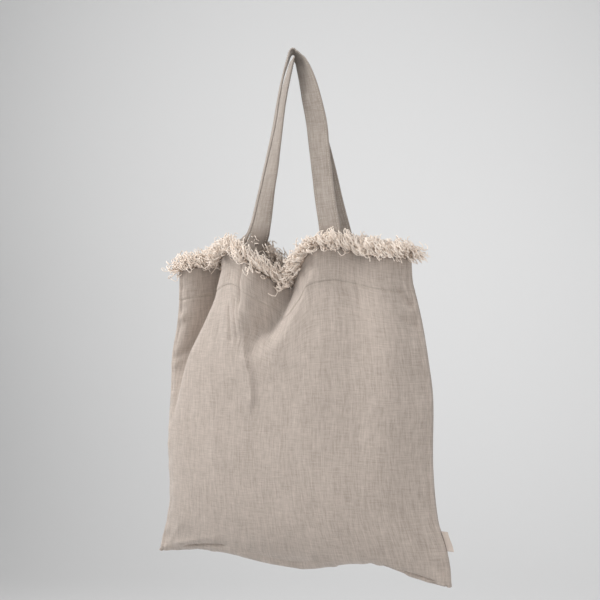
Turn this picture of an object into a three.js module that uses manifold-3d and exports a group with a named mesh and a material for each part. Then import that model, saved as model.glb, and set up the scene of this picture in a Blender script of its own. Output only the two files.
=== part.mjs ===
import * as THREE from 'three';
import Module from 'manifold-3d';
import { mergeVertices } from 'three/addons/utils/BufferGeometryUtils.js';

// A linen tote bag that hangs by its two handles. Millimetres, +Z up, front towards -Y.
// The origin is the underside of the handle crown, where the bag hangs.

// Driving sizes of the bag
const panelWidth = 440;
const seamDrop = 285;
const seamHeight = 398;
const bagDepth = 100;
const clothWall = 1.6;
const hemHeight = 39;
const hemWall = 2.2;
const pieceGap = 0.3;
const seatGap = 1.15;

// Driving sizes of the handles
const strapWidth = 34;
const strapWall = 3;
const strapDrop = 260;
const strapSpread = 137;
const crownRadius = 2.4;
const crownPitch = 39;
const crownTurn = -62;
const strapTuck = 33;
const leadIn = 24;

// Driving sizes of the fringe
const fringeHeight = 24;
const fringeReach = 13;
const backingHeight = 8;
const lockPitch = 17.5;
const lockDepth = 11;
const strapClearance = 0.45;

// Driving sizes of the side label
const labelReach = 9;
const labelHeight = 24;
const labelWall = 1.2;
const labelShare = 0.865;
const labelDrift = 0.12;

// How finely the pieces are divided
const panelColumns = 36;
const panelRows = 22;
const legSteps = 14;
const crownSteps = 6;
const sewnSteps = 3;
const labelRows = 3;
const seamSpacing = 0.55;
const shareStep = 0.004;
const fringeTolerance = 0.05;

// A row for each height. level is a share of the seam height below the seam tops, left and right are
// the side seams in half panel widths, front and back the swell in bag depths, and turnLeft and
// turnRight how softly the cloth turns in to its seams (1 is soft, 0 is square).
const sectionRows = [
  { level: 0.0, left: 0.823, right: 0.768, front: 0.24, back: 0.24, turnLeft: 1.0, turnRight: 0.9 },
  { level: 0.1, left: 0.826, right: 0.8, front: 0.28, back: 0.28, turnLeft: 0.9, turnRight: 0.9 },
  { level: 0.19, left: 0.842, right: 0.838, front: 0.35, back: 0.33, turnLeft: 0.75, turnRight: 0.85 },
  { level: 0.3, left: 0.874, right: 0.872, front: 0.42, back: 0.38, turnLeft: 0.55, turnRight: 0.8 },
  { level: 0.42, left: 0.87, right: 0.9, front: 0.46, back: 0.42, turnLeft: 0.42, turnRight: 0.78 },
  { level: 0.63, left: 0.878, right: 0.9, front: 0.49, back: 0.45, turnLeft: 0.4, turnRight: 0.75 },
  { level: 0.8, left: 0.875, right: 0.93, front: 0.45, back: 0.43, turnLeft: 0.45, turnRight: 0.75 },
  { level: 0.89, left: 0.912, right: 0.982, front: 0.37, back: 0.36, turnLeft: 0.55, turnRight: 0.8 },
  { level: 0.95, left: 0.957, right: 1.006, front: 0.24, back: 0.24, turnLeft: 0.7, turnRight: 0.9 },
  { level: 1.0, left: 0.991, right: 1.018, front: 0.0, back: 0.0, turnLeft: 0.9, turnRight: 0.9 },
];

// The top and bottom edges. at runs from -1 at the left seam to 1 at the right one; frontRise,
// backRise and seamRise lift an edge from its level, and belly hangs the cloth below the bottom
// seam, all in seam heights.
const edgeRows = [
  { at: -1.0, frontRise: 0.0, backRise: 0.0, seamRise: 0.0, belly: 0.0 },
  { at: -0.8, frontRise: 0.018, backRise: 0.014, seamRise: 0.018, belly: 0.001 },
  { at: -0.6, frontRise: 0.035, backRise: 0.035, seamRise: 0.032, belly: 0.003 },
  { at: -0.4, frontRise: 0.056, backRise: 0.06, seamRise: 0.036, belly: 0.01 },
  { at: -0.2, frontRise: -0.004, backRise: 0.02, seamRise: 0.036, belly: 0.024 },
  { at: 0.0, frontRise: -0.064, backRise: -0.05, seamRise: 0.034, belly: 0.032 },
  { at: 0.13, frontRise: -0.018, backRise: -0.02, seamRise: 0.034, belly: 0.028 },
  { at: 0.24, frontRise: 0.042, backRise: 0.03, seamRise: 0.036, belly: 0.016 },
  { at: 0.42, frontRise: 0.06, backRise: 0.06, seamRise: 0.038, belly: 0.004 },
  { at: 0.6, frontRise: 0.036, backRise: 0.04, seamRise: 0.022, belly: 0.001 },
  { at: 0.78, frontRise: 0.012, backRise: 0.015, seamRise: 0.002, belly: 0.0 },
  { at: 1.0, frontRise: 0.0, backRise: 0.0, seamRise: -0.005, belly: 0.0 },
];

// The folds, each a run of rows. at, left and right are its middle and the reach to each side in
// half panel widths, and depth is how far it leans to the back, in bag depths.
const frontFolds = {
  leftGroove: [
    { level: 0.0, at: -0.7, depth: 0.41, left: 0.15, right: 0.15 },
    { level: 0.1, at: -0.74, depth: 0.4, left: 0.13, right: 0.14 },
    { level: 0.2, at: -0.81, depth: 0.32, left: 0.1, right: 0.12 },
    { level: 0.3, at: -0.88, depth: 0.2, left: 0.07, right: 0.09 },
    { level: 0.42, at: -0.93, depth: 0.06, left: 0.05, right: 0.07 },
    { level: 0.55, at: -0.95, depth: 0.0, left: 0.05, right: 0.06 },
  ],
  leftRidge: [
    { level: 0.0, at: -0.24, depth: -0.09, left: 0.15, right: 0.09 },
    { level: 0.12, at: -0.31, depth: -0.08, left: 0.22, right: 0.1 },
    { level: 0.25, at: -0.36, depth: -0.04, left: 0.25, right: 0.12 },
    { level: 0.4, at: -0.36, depth: 0.0, left: 0.25, right: 0.12 },
  ],
  middleValley: [
    { level: 0.0, at: 0.01, depth: 0.34, left: 0.15, right: 0.16 },
    { level: 0.1, at: -0.04, depth: 0.36, left: 0.15, right: 0.2 },
    { level: 0.2, at: -0.12, depth: 0.22, left: 0.12, right: 0.22 },
    { level: 0.28, at: -0.17, depth: 0.08, left: 0.09, right: 0.2 },
    { level: 0.38, at: -0.19, depth: 0.0, left: 0.09, right: 0.2 },
  ],
  rightHollow: [
    { level: 0.0, at: 0.6, depth: 0.05, left: 0.14, right: 0.1 },
    { level: 0.3, at: 0.56, depth: 0.05, left: 0.16, right: 0.12 },
    { level: 0.7, at: 0.52, depth: 0.0, left: 0.2, right: 0.14 },
  ],
  rightRoll: [
    { level: 0.0, at: 0.84, depth: -0.05, left: 0.12, right: 0.08 },
    { level: 0.35, at: 0.82, depth: -0.05, left: 0.14, right: 0.09 },
    { level: 0.75, at: 0.8, depth: 0.0, left: 0.14, right: 0.1 },
  ],
};
const backFolds = {
  leftRoll: [
    { level: 0.0, at: -0.68, depth: 0.26, left: 0.17, right: 0.2 },
    { level: 0.15, at: -0.74, depth: 0.24, left: 0.14, right: 0.24 },
    { level: 0.3, at: -0.78, depth: 0.12, left: 0.12, right: 0.24 },
    { level: 0.5, at: -0.8, depth: 0.0, left: 0.12, right: 0.24 },
  ],
  leftPull: [
    { level: 0.0, at: -0.34, depth: -0.08, left: 0.13, right: 0.12 },
    { level: 0.3, at: -0.38, depth: 0.0, left: 0.16, right: 0.16 },
  ],
  middleRoll: [
    { level: 0.0, at: 0.02, depth: 0.15, left: 0.17, right: 0.16 },
    { level: 0.15, at: 0.0, depth: 0.1, left: 0.2, right: 0.2 },
    { level: 0.38, at: -0.04, depth: 0.0, left: 0.2, right: 0.2 },
  ],
  rightPull: [
    { level: 0.0, at: 0.4, depth: -0.07, left: 0.12, right: 0.14 },
    { level: 0.35, at: 0.46, depth: 0.0, left: 0.16, right: 0.18 },
  ],
  rightRoll: [
    { level: 0.0, at: 0.72, depth: 0.08, left: 0.14, right: 0.12 },
    { level: 0.4, at: 0.7, depth: 0.04, left: 0.16, right: 0.14 },
    { level: 0.8, at: 0.66, depth: 0.0, left: 0.18, right: 0.16 },
  ],
};

// The legs of the handles. drop is a share of the way down to the top edge, out a share of the way
// across to the sewn end, and turn the direction of the strap's width in degrees.
const handleLegs = {
  front: {
    left: [
      { drop: 0.0, out: 0.0, turn: crownTurn },
      { drop: 0.5, out: 0.5, turn: -62 },
      { drop: 0.88, out: 0.87, turn: -61 },
      { drop: 1.0, out: 1.0, turn: -37 },
    ],
    right: [
      { drop: 0.0, out: 0.0, turn: crownTurn },
      { drop: 0.15, out: 0.14, turn: -58 },
      { drop: 0.3, out: 0.4, turn: -30 },
      { drop: 0.5, out: 0.6, turn: -13 },
      { drop: 0.75, out: 0.72, turn: -20 },
      { drop: 1.0, out: 1.0, turn: 2 },
    ],
  },
  back: {
    left: [
      { drop: 0.0, out: 0.0, turn: crownTurn + 10 },
      { drop: 0.2, out: 0.25, turn: -45 },
      { drop: 0.37, out: 0.42, turn: -38 },
      { drop: 0.5, out: 0.53, turn: -25 },
      { drop: 0.75, out: 0.75, turn: -9 },
      { drop: 1.0, out: 1.0, turn: 0 },
    ],
    right: [
      { drop: 0.0, out: 0.0, turn: crownTurn + 10 },
      { drop: 0.1, out: 0.17, turn: -25 },
      { drop: 0.25, out: 0.34, turn: -12 },
      { drop: 0.5, out: 0.6, turn: -7 },
      { drop: 0.75, out: 0.83, turn: -3 },
      { drop: 1.0, out: 1.0, turn: 0 },
    ],
  },
};

const wasm = await Module();
wasm.setup();

// Small helpers for numbers and tables
const toRadians = Math.PI / 180;
const mix = (a, b, share) => a + (b - a) * share;
const clamp = (value, low, high) => Math.min(high, Math.max(low, value));
const ease = (share) => share * share * (3 - 2 * share);

// The value of a column between its rows, on a smooth curve through all of them.
function follow(rows, key, place, column) {
  const last = rows.length - 1;
  if (place <= rows[0][key]) return rows[0][column];
  if (place >= rows[last][key]) return rows[last][column];
  let i = 0;
  while (place > rows[i + 1][key]) i += 1;
  const slope = (k) => {
    const before = rows[Math.max(k - 1, 0)];
    const after = rows[Math.min(k + 1, last)];
    return (after[column] - before[column]) / (after[key] - before[key]);
  };
  const span = rows[i + 1][key] - rows[i][key];
  const t = (place - rows[i][key]) / span;
  const rise = ease(t);
  const leave = (t * t * t - 2 * t * t + t) * span;
  const arrive = (t * t * t - t * t) * span;
  return mix(rows[i][column], rows[i + 1][column], rise) + leave * slope(i) + arrive * slope(i + 1);
}

// The form of the two panels: sides names a panel's columns and folds, and which way it faces.
const sides = {
  front: { facing: -1, swell: 'front', rise: 'frontRise', folds: Object.values(frontFolds) },
  back: { facing: 1, swell: 'back', rise: 'backRise', folds: Object.values(backFolds) },
};
const halfWidth = panelWidth / 2;
const turnPower = 2.5;
const foldEndPower = 8;

function foldDepth(fold, at, level) {
  const offset = at - follow(fold, 'level', level, 'at');
  const reach = follow(fold, 'level', level, offset < 0 ? 'left' : 'right');
  return follow(fold, 'level', level, 'depth') * Math.exp(-((offset / reach) ** 2));
}

// The inner face of a panel at a place across (at) and a level below the seam tops.
function depthAt(side, at, level) {
  const turn = follow(sectionRows, 'level', level, at < 0 ? 'turnLeft' : 'turnRight');
  const swell = follow(sectionRows, 'level', level, side.swell);
  const pillow = clamp(1 - Math.abs(at) ** turnPower, 0, 1) ** turn;
  const nearSeam = 1 - Math.abs(at) ** foldEndPower;
  let folded = 0;
  for (const fold of side.folds) folded += foldDepth(fold, at, level);
  return side.facing * (swell * pillow * bagDepth + pieceGap / 2) + folded * nearSeam * bagDepth;
}

function acrossAt(at, level) {
  const left = -follow(sectionRows, 'level', level, 'left') * halfWidth;
  const right = follow(sectionRows, 'level', level, 'right') * halfWidth;
  return mix(left, right, (at + 1) / 2);
}

function topEdge(side, at) {
  return -seamDrop + follow(edgeRows, 'at', at, side.rise) * seamHeight;
}

// The share of the panel's height where the cloth starts to round under to the bottom seam.
const roundShare = 0.9;

// The height and level of a point a share of the way down the cloth. The belly swings below the
// bottom seam on a parabola that joins the straight cloth above it without a crease.
function heightAt(side, at, down) {
  const top = topEdge(side, at);
  const bottom = -seamDrop - (1 - follow(edgeRows, 'at', at, 'seamRise')) * seamHeight;
  const belly = Math.max(0, follow(edgeRows, 'at', at, 'belly')) * seamHeight;
  const fall = top - bottom + belly;
  const spare = belly / fall;
  const lowest = (1 - Math.sqrt(1 - (1 - spare) * (1 + spare * roundShare ** 2))) / (1 - spare);
  const pace = 2 / (roundShare + lowest);
  const bend = pace / (2 * (lowest - roundShare));
  const levelOf = (z) => (-seamDrop - z) / seamHeight;
  if (down <= roundShare) {
    const z = top - fall * pace * down;
    return { z, level: levelOf(z) };
  }
  const z = top - fall * (1 - bend * (down - lowest) ** 2);
  const from = levelOf(top - fall * pace * roundShare);
  return { z, level: mix(from, 1, (down - roundShare) / (1 - roundShare)) };
}

function innerPoint(side, at, down) {
  const { z, level } = heightAt(side, at, down);
  return new THREE.Vector3(acrossAt(at, level), depthAt(side, at, level), z);
}

// The outward direction of a panel, from the points close around it.
function outwardAt(side, at, down) {
  const a0 = clamp(at - shareStep, -1, 1);
  const a1 = clamp(at + shareStep, -1, 1);
  const d0 = clamp(down - shareStep, 0, 1);
  const d1 = clamp(down + shareStep, 0, 1);
  const along = innerPoint(side, a1, down).sub(innerPoint(side, a0, down));
  const below = innerPoint(side, at, d1).sub(innerPoint(side, at, d0));
  const outward = along.cross(below).normalize().multiplyScalar(side.facing);
  if (down > roundShare && outward.y * side.facing < 0) outward.setY(0).normalize();
  return outward;
}

// Solids are kept as lists of points and triangles until they become a mesh.
function volumeOf(points, faces) {
  let sum = 0;
  for (const [a, b, c] of faces) {
    sum += points[a].dot(new THREE.Vector3().crossVectors(points[b], points[c])) / 6;
  }
  return sum;
}

function facingOut(points, faces) {
  if (volumeOf(points, faces) > 0) return faces;
  return faces.map(([a, b, c]) => [a, c, b]);
}

function toGeometry(points, faces) {
  const geometry = new THREE.BufferGeometry();
  const flat = points.flatMap((p) => [p.x, p.y, p.z]);
  geometry.setAttribute('position', new THREE.Float32BufferAttribute(flat, 3));
  geometry.setIndex(facingOut(points, faces).flat());
  return geometry;
}

// Rings of points, one after another, joined into a closed skin. Each end is closed by a strip
// between the two halves of its ring.
function skinOver(rings) {
  const points = rings.flat();
  const size = rings[0].length;
  const faces = [];
  for (let r = 0; r + 1 < rings.length; r += 1) {
    for (let k = 0; k < size; k += 1) {
      const a = r * size + k;
      const b = r * size + ((k + 1) % size);
      faces.push([a, b, a + size], [b, b + size, a + size]);
    }
  }
  const end = (rings.length - 1) * size;
  for (let k = 0; k + 1 < size / 2; k += 1) {
    const [a, b, c, d] = [k, k + 1, size - 2 - k, size - 1 - k];
    faces.push([a, d, c], [a, c, b], [end + a, end + c, end + d], [end + a, end + b, end + c]);
  }
  return { points, faces };
}

// A panel is a closed shell: its inner face, and its outer face a wall away.
function panelGeometry(side) {
  const columns = columnPlaces();
  const hemShare = hemHeight / seamHeight;
  const belowHem = hemShare + shareStep;
  const downs = [0, hemShare / 2, hemShare, belowHem];
  const rest = panelRows - downs.length + 1;
  for (let j = 1; j <= rest; j += 1) downs.push(mix(belowHem, 1, j / rest));
  const points = [];
  for (const wallShare of [0, 1]) {
    for (const down of downs) {
      const wall = down <= hemShare ? hemWall : clothWall;
      for (const at of columns) {
        const point = innerPoint(side, at, down);
        points.push(point.addScaledVector(outwardAt(side, at, down), wall * wallShare));
      }
    }
  }
  const width = columns.length;
  const count = width * downs.length;
  const faces = [];
  const quad = (a, b, c, d) => faces.push([a, b, c], [a, c, d]);
  for (let j = 0; j + 1 < downs.length; j += 1) {
    for (let i = 0; i + 1 < width; i += 1) {
      const a = j * width + i;
      quad(a, a + 1, a + 1 + width, a + width);
      quad(a + count, a + width + count, a + 1 + width + count, a + 1 + count);
    }
    const left = j * width;
    const right = left + width - 1;
    quad(left, left + width, left + width + count, left + count);
    quad(right, right + count, right + width + count, right + width);
  }
  for (let i = 0; i + 1 < width; i += 1) {
    const low = (downs.length - 1) * width + i;
    quad(i + count, i + 1 + count, i + 1, i);
    quad(low, low + 1, low + 1 + count, low + count);
  }
  return toGeometry(points, faces);
}

// The place across of a point of a panel's top edge, from its distance to the middle plane.
function atOfAcross(x, level) {
  const left = acrossAt(-1, level);
  const right = acrossAt(1, level);
  return (2 * (x - left)) / (right - left) - 1;
}

// The handles
const crownBend = crownRadius + strapWall / 2;
const handles = {
  front: { side: sides.front, legs: handleLegs.front, away: 0.5, aside: 0, inward: 1 },
  back: { side: sides.back, legs: handleLegs.back, away: -0.5, aside: 3, inward: -1 },
};

function crownMiddle(handle) {
  const turn = crownTurn * toRadians;
  const along = new THREE.Vector3(Math.cos(turn), Math.sin(turn), 0);
  const across = new THREE.Vector3(-Math.sin(turn), Math.cos(turn), 0);
  return along.multiplyScalar(handle.away * crownPitch).addScaledVector(across, handle.aside);
}

// The inner face of a hem at a place and a height.
function hemFace(handle, x, z) {
  const level = Math.max((-seamDrop - z) / seamHeight, 0);
  return depthAt(handle.side, atOfAcross(x, level), level);
}

// The middle of a strap where it lies on the hem's inner face, a gap away from it.
function hemSeat(handle, x, z) {
  const slopeX = (hemFace(handle, x + 1, z) - hemFace(handle, x - 1, z)) / 2;
  const slopeZ = (hemFace(handle, x, z + 1) - hemFace(handle, x, z - 1)) / 2;
  const inward = new THREE.Vector3(-slopeX, 1, -slopeZ).normalize();
  inward.multiplyScalar(handle.inward * (seatGap + strapWall / 2));
  return inward.add(new THREE.Vector3(x, hemFace(handle, x, z), z));
}

// One row of points across the strap, at a height z on the left (-1) or right (1) leg.
function legRow(handle, hand, z, shares) {
  const rows = handle.legs[hand < 0 ? 'left' : 'right'];
  const crownTurnHere = rows[0].turn * toRadians;
  const drop = clamp(-z / strapDrop, 0, 1);
  const out = follow(rows, 'drop', drop, 'out');
  const turn = follow(rows, 'drop', drop, 'turn') * toRadians;
  const start = crownMiddle(handle);
  start.x -= hand * crownBend * Math.sin(crownTurnHere);
  start.y += hand * crownBend * Math.cos(crownTurnHere);
  const endX = (hand * strapSpread) / 2;
  const endY = hemSeat(handle, endX, -strapDrop).y;
  const endTurn = rows[rows.length - 1].turn * toRadians;
  const sewn = 1 - ease(clamp((z + strapDrop) / leadIn, 0, 1));
  return shares.map((share) => {
    const reach = share * strapWidth;
    const free = new THREE.Vector3(
      mix(start.x, endX, out) + reach * Math.cos(turn),
      mix(start.y, endY, out) + reach * Math.sin(turn),
      z,
    );
    const x = endX + reach * Math.cos(endTurn);
    return free.lerp(hemSeat(handle, x, z), sewn);
  });
}

// The rows of the whole strap, from its left sewn end over the crown to its right one.
function strapRows(handle, shares) {
  const rows = [];
  const low = -strapDrop - strapTuck;
  const legHeights = [];
  for (let j = 0; j <= sewnSteps; j += 1) legHeights.push(mix(low, -strapDrop, j / sewnSteps));
  for (let j = 1; j <= legSteps; j += 1) {
    const share = j / legSteps;
    legHeights.push(mix(-strapDrop, -crownRadius, (ease(share) + share) / 2));
  }
  for (const z of legHeights) rows.push(legRow(handle, -1, z, shares));
  const middle = crownMiddle(handle);
  const turn = handle.legs.left[0].turn * toRadians;
  for (let k = 1; k < crownSteps; k += 1) {
    const angle = (k / crownSteps) * Math.PI;
    const swing = -Math.cos(angle) * crownBend;
    rows.push(
      shares.map((share) => {
        const reach = share * strapWidth;
        return new THREE.Vector3(
          middle.x + reach * Math.cos(turn) - swing * Math.sin(turn),
          middle.y + reach * Math.sin(turn) + swing * Math.cos(turn),
          -crownRadius + Math.sin(angle) * crownBend,
        );
      }),
    );
  }
  for (const z of legHeights.toReversed()) rows.push(legRow(handle, 1, z, shares));
  return rows;
}

// A strap of a given wall round its middle rows.
function strapSolid(rows, wall) {
  const columns = rows[0].length;
  const rings = rows.map((row, r) => {
    const before = rows[Math.max(r - 1, 0)];
    const after = rows[Math.min(r + 1, rows.length - 1)];
    const offsets = row.map((point, k) => {
      const along = after[k].clone().sub(before[k]);
      const across = row[Math.min(k + 1, columns - 1)].clone().sub(row[Math.max(k - 1, 0)]);
      return along.cross(across).normalize().multiplyScalar(wall / 2);
    });
    const upper = row.map((point, k) => point.clone().add(offsets[k]));
    const lower = row.map((point, k) => point.clone().sub(offsets[k]));
    return [...upper, ...lower.reverse()];
  });
  return skinOver(rings);
}

// The places across a strap of its columns of points
const strapShares = [-0.5, -0.25, 0, 0.25, 0.5];

function handleGeometry(handle) {
  const { points, faces } = strapSolid(strapRows(handle, strapShares), strapWall);
  return toGeometry(points, faces);
}

// Joining and cutting
function toManifold({ points, faces }) {
  const geometry = mergeVertices(toGeometry(points, faces), 1e-4);
  return new wasm.Manifold(
    new wasm.Mesh({
      numProp: 3,
      vertProperties: geometry.attributes.position.array,
      triVerts: new Uint32Array(geometry.index.array),
    }),
  );
}

function fromManifold(solid) {
  const { vertProperties, triVerts } = solid.getMesh();
  const geometry = new THREE.BufferGeometry();
  geometry.setAttribute('position', new THREE.BufferAttribute(new Float32Array(vertProperties), 3));
  geometry.setIndex(Array.from(triVerts));
  return geometry;
}

// The places across of a panel's columns, closer together towards the seams.
function columnPlaces() {
  const columns = [];
  for (let i = 0; i <= panelColumns; i += 1) {
    const even = (2 * i) / panelColumns - 1;
    columns.push(mix(even, Math.sin((even * Math.PI) / 2), seamSpacing));
  }
  return columns;
}

// A place on a top edge, with its outward direction and its direction along the edge.
function edgePlace(side, at) {
  const step = 0.01;
  const outward = outwardAt(side, at, 0).setZ(0).normalize();
  const before = innerPoint(side, clamp(at - step, -1, 1), 0);
  const along = innerPoint(side, clamp(at + step, -1, 1), 0).sub(before);
  along.addScaledVector(outward, -along.dot(outward)).normalize();
  const point = innerPoint(side, at, 0);
  const outer = point.clone().addScaledVector(outwardAt(side, at, 0), hemWall);
  return { point, outer, outward, along, at };
}

// Places along a top edge at an even pitch.
function lockPlaces(side) {
  const samples = 400;
  const run = [{ at: -1, length: 0 }];
  let last = innerPoint(side, -1, 0);
  for (let i = 1; i <= samples; i += 1) {
    const at = mix(-1, 1, i / samples);
    const point = innerPoint(side, at, 0);
    run.push({ at, length: run[i - 1].length + point.distanceTo(last) });
    last = point;
  }
  const total = run[samples].length;
  const count = Math.max(2, Math.round(total / lockPitch));
  const places = [];
  for (let n = 0; n <= count; n += 1) {
    const wanted = (n / count) * total;
    const next = Math.max(1, run.findIndex((r) => r.length >= wanted - 1e-6));
    const share = (wanted - run[next - 1].length) / (run[next].length - run[next - 1].length);
    places.push(edgePlace(side, mix(run[next - 1].at, run[next].at, clamp(share, 0, 1))));
  }
  return places;
}

// The fringe: locks along a backing that stands on the top edge. Each lock rises, spreads and
// curls outward and down, and every other one a little further. up and out are shares of the
// fringe's height and reach, wide and deep of a lock's pitch and depth, and curl is in degrees.
const lockRings = [
  { up: 0.17, out: 0.0, wide: 0.66, deep: 0.16, curl: 0 },
  { up: 0.7, out: 0.3, wide: 0.88, deep: 0.9, curl: 40 },
  { up: 0.3, out: 0.95, wide: 0.7, deep: 0.6, curl: 120 },
];

// How every other lock differs from its neighbours, in shares of its own sizes
const farLock = { lower: 0.12, further: 0.2 };
const lockLean = 0.1;

// The lock at a seam is narrower, points away from the bag at an angle and stays on its own side of
// the seam. shift is in hem walls.
const seamLock = { angle: 40, shift: 1.35, narrower: 0.62, from: 0.999 };

function seamPlace(side, place) {
  const angle = seamLock.angle * toRadians;
  const away = [Math.cos(angle) * Math.sign(place.at), Math.sin(angle) * side.facing];
  const outward = new THREE.Vector3(...away, 0);
  const along = new THREE.Vector3(outward.y, -outward.x, 0).multiplyScalar(side.facing);
  const point = place.point.clone().add(place.outer).multiplyScalar(0.5);
  point.setY(seamLock.shift * side.facing * hemWall).addScaledVector(outward, -hemWall / 2);
  return { point, outward, along, at: place.at };
}

function lockSolid(side, edge, number) {
  const far = number % 2;
  const lean = (((number * 7) % 5) / 4 - 0.5) * lockLean;
  const atSeam = Math.abs(edge.at) > seamLock.from ? 1 : 0;
  const place = atSeam ? seamPlace(side, edge) : edge;
  const rings = lockRings.map(({ up, out, wide, deep, curl }) => {
    const middle = place.point.clone();
    middle.z += pieceGap + fringeHeight * up * (1 - farLock.lower * far);
    const reach = fringeReach * out * (1 + farLock.further * far);
    middle.addScaledVector(place.outward, hemWall / 2 + reach);
    middle.addScaledVector(place.along, lean * up * lockPitch);
    const w = (lockPitch * wide * (1 - seamLock.narrower * atSeam)) / 2;
    const d = (lockDepth * deep) / 2;
    const corner = (a, b) => {
      const point = middle.clone().addScaledVector(place.along, a * w);
      point.addScaledVector(place.outward, b * d * Math.cos(curl * toRadians));
      point.z -= b * d * Math.sin(curl * toRadians);
      return point;
    };
    return [corner(-1, -1), corner(1, -1), corner(1, 1), corner(-1, 1)];
  });
  return skinOver(rings);
}

function fringeGeometry(side, handle) {
  const low = pieceGap;
  const high = pieceGap + backingHeight;
  const raised = (point, up) => point.clone().setZ(point.z + up);
  const backing = skinOver(
    columnPlaces().map((at) => {
      const { point, outer } = edgePlace(side, at);
      return [raised(point, low), raised(outer, low), raised(outer, high), raised(point, high)];
    }),
  );
  let fringe = toManifold(backing);
  lockPlaces(side).forEach((place, number) => {
    fringe = fringe.add(toManifold(lockSolid(side, place, number)));
  });
  const clearShare = 1 + (2 * strapClearance) / strapWidth;
  const clearRows = strapRows(handle, strapShares.map((share) => share * clearShare));
  const clearance = strapSolid(clearRows, strapWall + 2 * strapClearance);
  const pieces = fringe.subtract(toManifold(clearance)).decompose();
  pieces.sort((a, b) => b.volume() - a.volume());
  return fromManifold(pieces[0].simplify(fringeTolerance));
}

// The label: a folded tab that leaves the right seam a little way above the bottom corner.
function labelGeometry() {
  const rings = [];
  const levelSpan = labelHeight / seamHeight;
  for (let j = 0; j <= labelRows; j += 1) {
    const level = labelShare + levelSpan * (j / labelRows - 0.5);
    const root = acrossAt(1, level) + clothWall + pieceGap;
    const z = -seamDrop - level * seamHeight;
    const ring = [];
    for (const [out, y] of [[0, -0.5], [labelReach, -0.5], [labelReach, 0.5], [0, 0.5]]) {
      ring.push(new THREE.Vector3(root + out, y * labelWall - out * labelDrift, z));
    }
    rings.push(ring);
  }
  const { points, faces } = skinOver(rings);
  return toGeometry(points, faces);
}

// Materials, one for each piece
const group = new THREE.Group();
function addPiece(name, geometry, color, roughness) {
  const material = new THREE.MeshStandardMaterial({ color, roughness, metalness: 0 });
  const mesh = new THREE.Mesh(geometry, material);
  mesh.name = name;
  group.add(mesh);
}

addPiece('front_panel', panelGeometry(sides.front), 0xb3a79b, 0.92);
addPiece('back_panel', panelGeometry(sides.back), 0xafa397, 0.92);
addPiece('front_fringe', fringeGeometry(sides.front, handles.front), 0xd6c5b7, 0.95);
addPiece('back_fringe', fringeGeometry(sides.back, handles.back), 0xd2c1b3, 0.95);
addPiece('front_handle', handleGeometry(handles.front), 0xb5a99c, 0.9);
addPiece('back_handle', handleGeometry(handles.back), 0xb1a598, 0.9);
addPiece('side_label', labelGeometry(), 0xe0cfc2, 0.85);

export default group;
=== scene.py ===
import math

import bpy
import numpy as np
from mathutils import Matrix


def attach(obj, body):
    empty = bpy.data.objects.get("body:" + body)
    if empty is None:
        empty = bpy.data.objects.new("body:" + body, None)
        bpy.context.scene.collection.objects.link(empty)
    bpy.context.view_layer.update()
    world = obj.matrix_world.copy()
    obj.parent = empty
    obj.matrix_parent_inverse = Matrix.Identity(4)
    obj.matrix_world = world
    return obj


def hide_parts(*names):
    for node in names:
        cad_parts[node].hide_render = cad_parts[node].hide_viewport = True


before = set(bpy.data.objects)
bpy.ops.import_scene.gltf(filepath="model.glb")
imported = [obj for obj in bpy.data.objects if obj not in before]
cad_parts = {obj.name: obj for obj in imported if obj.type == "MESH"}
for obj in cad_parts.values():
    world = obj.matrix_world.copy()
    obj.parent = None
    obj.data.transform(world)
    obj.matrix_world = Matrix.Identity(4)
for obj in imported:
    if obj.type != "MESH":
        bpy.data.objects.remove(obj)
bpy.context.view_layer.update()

# A linen tote bag that hangs by its handles. Metres, +Z up, front towards -Y, and the origin is
# the underside of the handle crown. The form repeats the named sizes of the part's own source.

bag = {
    "panelWidth": 0.440,
    "seamDrop": 0.285,
    "seamHeight": 0.398,
    "bagDepth": 0.100,
    "clothWall": 0.0016,
    "hemHeight": 0.039,
    "hemWall": 0.0022,
    "pieceGap": 0.0003,
    "turnPower": 2.5,
    "roundFrom": 0.9,
}
seamDrop = bag["seamDrop"]
seamHeight = bag["seamHeight"]
halfWidth = bag["panelWidth"] / 2
hemShare = bag["hemHeight"] / seamHeight


def table(words, rows):
    return dict(zip(words.split(), np.array(rows, dtype=float).T))


# Side seams in half panel widths, swell of the two panels in bag depths, softness of the turn
sectionRows = table("level left right front back turnLeft turnRight", [
    (0.0, 0.823, 0.768, 0.24, 0.24, 1.0, 0.9),
    (0.055, 0.8243, 0.776, 0.26, 0.26, 0.95, 0.9),
    (0.1, 0.826, 0.8, 0.28, 0.28, 0.9, 0.9),
    (0.19, 0.842, 0.838, 0.35, 0.33, 0.75, 0.85),
    (0.3, 0.874, 0.872, 0.42, 0.38, 0.55, 0.8),
    (0.42, 0.87, 0.9, 0.46, 0.42, 0.42, 0.78),
    (0.63, 0.878, 0.9, 0.49, 0.45, 0.4, 0.75),
    (0.8, 0.875, 0.93, 0.45, 0.43, 0.45, 0.75),
    (0.89, 0.912, 0.982, 0.37, 0.36, 0.55, 0.8),
    (0.95, 0.957, 1.006, 0.24, 0.24, 0.7, 0.9),
    (1.0, 0.991, 1.018, 0.0, 0.0, 0.9, 0.9),
])

# The top and bottom edges, all in seam heights
edgeRows = table("at frontRise backRise seamRise belly", [
    (-1.0, 0.0, 0.0, 0.0, 0.0),
    (-0.8, 0.018, 0.014, 0.018, 0.001),
    (-0.6, 0.035, 0.035, 0.032, 0.003),
    (-0.4, 0.056, 0.06, 0.036, 0.01),
    (-0.2, -0.004, 0.02, 0.036, 0.024),
    (0.0, -0.064, -0.05, 0.034, 0.032),
    (0.13, -0.018, -0.02, 0.034, 0.028),
    (0.24, 0.042, 0.03, 0.036, 0.016),
    (0.42, 0.064, 0.06, 0.047, 0.004),
    (0.6, 0.047, 0.044, 0.045, 0.001),
    (0.78, 0.03, 0.03, 0.019, 0.0),
    (1.0, 0.024, 0.024, -0.005, 0.0),
])

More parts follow.
